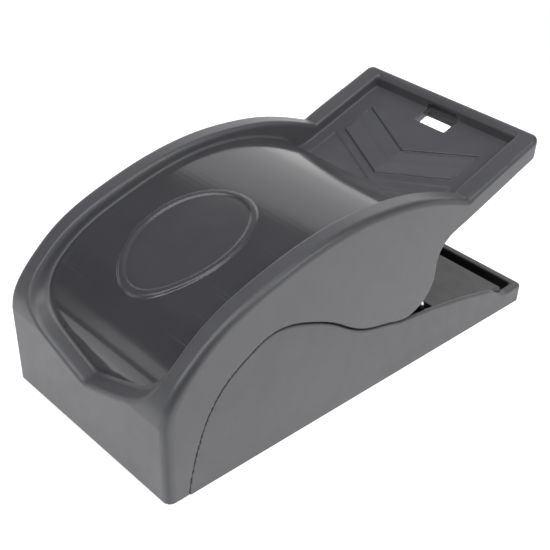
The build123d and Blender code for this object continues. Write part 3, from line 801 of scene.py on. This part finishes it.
def bump(t, height, strength, distance, below=None):
    n = t.nodes.new("ShaderNodeBump")
    n.inputs["Strength"].default_value = strength
    n.inputs["Distance"].default_value = distance
    t.links.new(height, n.inputs["Height"])
    if below is not None:
        t.links.new(below, n.inputs["Normal"])
    return n.outputs[0]


def plastic(name, dark, light, rough=(0.42, 0.52), gloss=False, inside=False):
    """Injection-moulded plastic: cloudy pigment, spark-eroded satin grain, slow sink waves, and a polished area; the
    colour can also be darkened as painted shade along a marked near edge and inside a tray.
    """
    m, t, b = nodes_of(name)
    cloud = noise(t, 55, 4, 0.6)
    speck = noise(t, 2600, 2, 0.5)
    mixf = maths(t, "ADD", maths(t, "MULTIPLY", cloud, 0.8), maths(t, "MULTIPLY", speck, 0.2))
    fac = ranged(t, mixf, 0.35, 0.65, 0, 1)
    tone = mixed(t, fac, dark, light)
    rub = noise(t, 240, 5, 0.65)
    satin = ranged(t, rub, 0.3, 0.7, rough[0], rough[1])
    grain = noise(t, 5200, 2, 0.6)
    wave = noise(t, 45, 1, 0.4)
    if gloss:
        at = t.nodes.new("ShaderNodeAttribute")
        at.attribute_name = "gloss"
        g = at.outputs["Fac"]
        deep = mixed(t, fac, tuple(0.68 * v for v in dark), tuple(0.68 * v for v in light))
        # the polished panel's darker tone, also used as painted shade on the near outer edge marked by the edge-shade
        # attribute
        we = t.nodes.new("ShaderNodeAttribute")
        we.attribute_name = "painted_edge_shade"
        painted_edge_shade = we.outputs["Fac"]
        pick = t.nodes.new("ShaderNodeMix")
        pick.data_type = "RGBA"
        t.links.new(maths(t, "MAXIMUM", g, maths(t, "MULTIPLY", painted_edge_shade, 1.0)), pick.inputs[0])
        t.links.new(tone, pick.inputs[6])
        t.links.new(deep, pick.inputs[7])
        tone = pick.outputs[2]
        smear = ranged(t, noise(t, 120, 4, 0.6), 0.3, 0.75, 0.10, 0.17)
        r = t.nodes.new("ShaderNodeMix")
        r.data_type = "FLOAT"
        t.links.new(g, r.inputs[0])
        t.links.new(satin, r.inputs[2])
        t.links.new(smear, r.inputs[3])
        t.links.new(r.outputs[0], b.inputs["Roughness"])
        keep = ranged(t, g, 0, 1, 1, 0.05)
        grain = maths(t, "MULTIPLY", grain, keep)
    else:
        t.links.new(satin, b.inputs["Roughness"])
    # painted shade: the colour drops to 0.3 of the tone where the inside attribute is set
    if inside:
        at = t.nodes.new("ShaderNodeAttribute")
        at.attribute_name = "inside"
        pick = t.nodes.new("ShaderNodeMix")
        pick.data_type = "RGBA"
        t.links.new(at.outputs["Fac"], pick.inputs[0])
        t.links.new(tone, pick.inputs[6])
        t.links.new(mixed(t, fac, tuple(0.3 * v for v in dark), tuple(0.3 * v for v in light)), pick.inputs[7])
        tone = pick.outputs[2]
    t.links.new(tone, b.inputs["Base Color"])
    n1 = bump(t, grain, 0.35, 0.00003)
    n2 = bump(t, wave, 0.35, 0.0003, n1)
    t.links.new(n2, b.inputs["Normal"])
    b.inputs["IOR"].default_value = 1.49
    return m


def steel(name, dark, light, rough=(0.16, 0.3), along=None):
    m, t, b = nodes_of(name)
    streak = noise(t, 900, 4, 0.6, along)
    cloud = noise(t, 300, 3, 0.5)
    fac = ranged(t, maths(t, "ADD", maths(t, "MULTIPLY", streak, 0.6), maths(t, "MULTIPLY", cloud, 0.4)), 0.35, 0.65, 0, 1)
    t.links.new(mixed(t, fac, dark, light), b.inputs["Base Color"])
    t.links.new(ranged(t, streak, 0.3, 0.7, rough[0], rough[1]), b.inputs["Roughness"])
    b.inputs["Metallic"].default_value = 1.0
    t.links.new(bump(t, streak, 0.15, 0.00005), b.inputs["Normal"])
    return m


def paint(o, m):
    o.data.materials.clear()
    o.data.materials.append(m)


SHELL = plastic("moulded_grey_shell", (0.082, 0.083, 0.091), (0.094, 0.095, 0.104), (0.31, 0.40), gloss=True)
# the base material carries painted shade inside the tray
GREY = plastic("moulded_grey_base", (0.084, 0.084, 0.092), (0.096, 0.096, 0.104), (0.42, 0.52), inside=True)
DECK = plastic("moulded_grey_plate", (0.040, 0.040, 0.043), (0.048, 0.048, 0.051), (0.52, 0.62))
DARK = plastic("moulded_dark_lever", (0.036, 0.036, 0.040), (0.046, 0.046, 0.050), (0.38, 0.5))
SPRING = steel("plated_spring_wire", (0.55, 0.56, 0.58), (0.74, 0.74, 0.75), (0.14, 0.26))
PIN = steel("drawn_pin_steel", (0.50, 0.50, 0.51), (0.66, 0.66, 0.67), (0.2, 0.34), along=(0.08, 1, 1))

# ------------------------------------------------------------------ pieces
jaw = build_jaw()
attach(jaw, "jaw")
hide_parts("jaw_shell")
paint(jaw, SHELL)

tray = build_base()
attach(tray, "base")
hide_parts("base_housing")
paint(tray, GREY)

plate = build_tail_plate()
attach(plate, "base")
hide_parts("tail_cover")
paint(plate, DECK)

lever = build_lever()
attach(lever, "trigger")
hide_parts("trigger_lever")
paint(lever, DARK)

well = build_cup()
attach(well, "base")
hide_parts("bait_cup")
paint(well, DARK)

for name, r, half, f, z, body, node in (("jaw_pin", 2.0, 24.2, PF, PZ, "base", "pivot_pin"),
                                        ("lever_pin", 1.0, 7.4, QF, QZ, "base", "trigger_pin"),
                                        ("strike_bar", 1.25, 21.0, 7.6, 7.6, "jaw", "kill_bar")):
    o = bar(name, r, half, f, z)
    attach(o, body)
    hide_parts(node)
    paint(o, PIN)

la = math.radians(-18.0)
lf, lz = PF + 14.0 * math.cos(la), PZ + 14.0 * math.sin(la)
loop = tube("latch_wire", rounded_path([(4.6, 79.5, 31.8), (4.6, 78.9, 28.0), (4.6, lf, lz), (-4.6, lf, lz), (-4.6, 78.9, 28.0), (-4.6, 79.5, 31.8)], 1.3), 0.9)
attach(loop, "jaw")
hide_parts("latch_loop")
paint(loop, SPRING)

for o in build_spring():
    paint(o, SPRING)


# ------------------------------------------------------------------ stage and light
def build_stage():
    ring = [(0.2 * math.cos(a), 0.2 * math.sin(a), 0) for a in np.linspace(0, 2 * math.pi, 96, endpoint=False)]
    mesh = bpy.data.meshes.new("floor")
    mesh.from_pydata(ring, [], [tuple(range(96))])
    floor = bpy.data.objects.new("floor", mesh)
    bpy.context.scene.collection.objects.link(floor)
    floor.location.z = -0.00002
    m, t, b = nodes_of("pale_floor")
    fac = ranged(t, noise(t, 30, 3, 0.5), 0.3, 0.7, 0, 1)
    t.links.new(mixed(t, fac, (0.93, 0.93, 0.93), (0.95, 0.95, 0.95)), b.inputs["Base Color"])
    b.inputs["Roughness"].default_value = 0.9
    b.inputs["Emission Color"].default_value = (1, 1, 1, 1)
    b.inputs["Emission Strength"].default_value = 0.63
    floor.data.materials.append(m)


def lamp(name, at, to, size, power, colour=(1, 1, 1), shape=None):
    d = bpy.data.lights.new(name, "AREA")
    d.shape = "RECTANGLE" if shape else "SQUARE"
    d.size = size
    if shape:
        d.size_y = shape
    d.energy = power
    d.color = colour
    o = bpy.data.objects.new(name, d)
    bpy.context.scene.collection.objects.link(o)
    o.location = at
    o.rotation_euler = (Vector(to) - Vector(at)).to_track_quat("-Z", "Y").to_euler()
    return o


def build_world():
    """Light tent: bright low walls, dark above them, darker again behind the viewer."""
    w = bpy.data.worlds.new("studio")
    bpy.context.scene.world = w
    w.use_nodes = True
    t = w.node_tree
    t.nodes.clear()
    out = t.nodes.new("ShaderNodeOutputWorld")
    co = t.nodes.new("ShaderNodeTexCoord")
    sep = t.nodes.new("ShaderNodeSeparateXYZ")
    t.links.new(co.outputs["Generated"], sep.inputs[0])
    ramp = t.nodes.new("ShaderNodeValToRGB")
    t.links.new(ranged(t, sep.outputs[2], -1.0, 1.0, 0.0, 1.0), ramp.inputs[0])
    e = ramp.color_ramp.elements
    e[0].position, e[0].color = 0.0, (0.80, 0.80, 0.81, 1)
    e[1].position, e[1].color = 1.0, (0.55, 0.55, 0.57, 1)
    for p, c in ((0.38, 0.80), (0.40, 0.14), (0.492, 0.14), (0.503, 1.0), (0.594, 1.0), (0.614, 0.25), (0.65, 0.09),
                 (0.93, 0.08), (0.97, 0.45)):
        n = e.new(p)
        n.color = (c, c, min(1, c * 1.03), 1)
    # soft box behind on the far side, up to about 40 degrees
    rear = maths(t, "ADD", maths(t, "MULTIPLY", sep.outputs[0], -0.66), maths(t, "MULTIPLY", sep.outputs[1], 0.75))
    wide = maths(t, "MULTIPLY", ranged(t, rear, 0.66, 0.74, 0.0, 1.0), ranged(t, sep.outputs[2], 0.62, 0.67, 1.0, 0.0))
    box_light = maths(t, "MULTIPLY", wide, 0.8)
    fwd = maths(t, "SUBTRACT", maths(t, "MULTIPLY", sep.outputs[0], 0.64), maths(t, "MULTIPLY", sep.outputs[1], 0.77))
    dim = ranged(t, fwd, 0.35, 0.92, 1.0, 0.15)
    # dark flag near the front left corner
    left = maths(t, "SUBTRACT", maths(t, "MULTIPLY", sep.outputs[0], 0.728), maths(t, "MULTIPLY", sep.outputs[1], 0.685))
    flag = maths(t, "MULTIPLY", ranged(t, left, -0.02, 0.03, 1.0, 0.0), ranged(t, left, -0.30, -0.22, 0.0, 1.0))
    flag = maths(t, "MULTIPLY", flag, ranged(t, sep.outputs[1], -0.4, -0.3, 1.0, 0.0))
    dim = maths(t, "MULTIPLY", dim, ranged(t, flag, 0.0, 1.0, 1.0, 0.15))
    both_lights = t.nodes.new("ShaderNodeMix")
    both_lights.data_type = "RGBA"
    both_lights.blend_type = "LIGHTEN"
    both_lights.inputs[0].default_value = 1.0
    t.links.new(ramp.outputs[0], both_lights.inputs[6])
    t.links.new(box_light, both_lights.inputs[7])
    lit = t.nodes.new("ShaderNodeBackground")
    t.links.new(both_lights.outputs[2], lit.inputs[0])
    t.links.new(maths(t, "MULTIPLY", dim, 1.5), lit.inputs[1])
    seen = t.nodes.new("ShaderNodeBackground")
    seen.inputs[0].default_value = (1.0, 1.0, 1.0, 1)
    path = t.nodes.new("ShaderNodeLightPath")
    mix = t.nodes.new("ShaderNodeMixShader")
    t.links.new(path.outputs["Is Camera Ray"], mix.inputs[0])
    t.links.new(lit.outputs[0], mix.inputs[1])
    t.links.new(seen.outputs[0], mix.inputs[2])
    t.links.new(mix.outputs[0], out.inputs[0])


build_stage()
build_world()
strip = lamp("key", (0.13, -0.20, 0.57), (0, 0, 0.02), 0.60, 1.95, shape=0.34)
edge = lamp("edge", (-0.08, -0.42, 0.36), (0, -0.04, 0.03), 0.22, 0.7)
edge.visible_diffuse = False
side = lamp("side", (0.42, 0.15, 0.42), (0, 0.01, 0.02), 0.26, 0.95, shape=0.26)
aim = (Vector((0, 0, 0.02)) - strip.location).normalized()
side_way = Vector((0.65, 0.55, 0.16))
side_way = (side_way - aim * side_way.dot(aim)).normalized()
strip.rotation_euler = Matrix((side_way, (-aim).cross(side_way), -aim)).transposed().to_euler()
bpy.context.scene.view_settings.view_transform = "Standard"
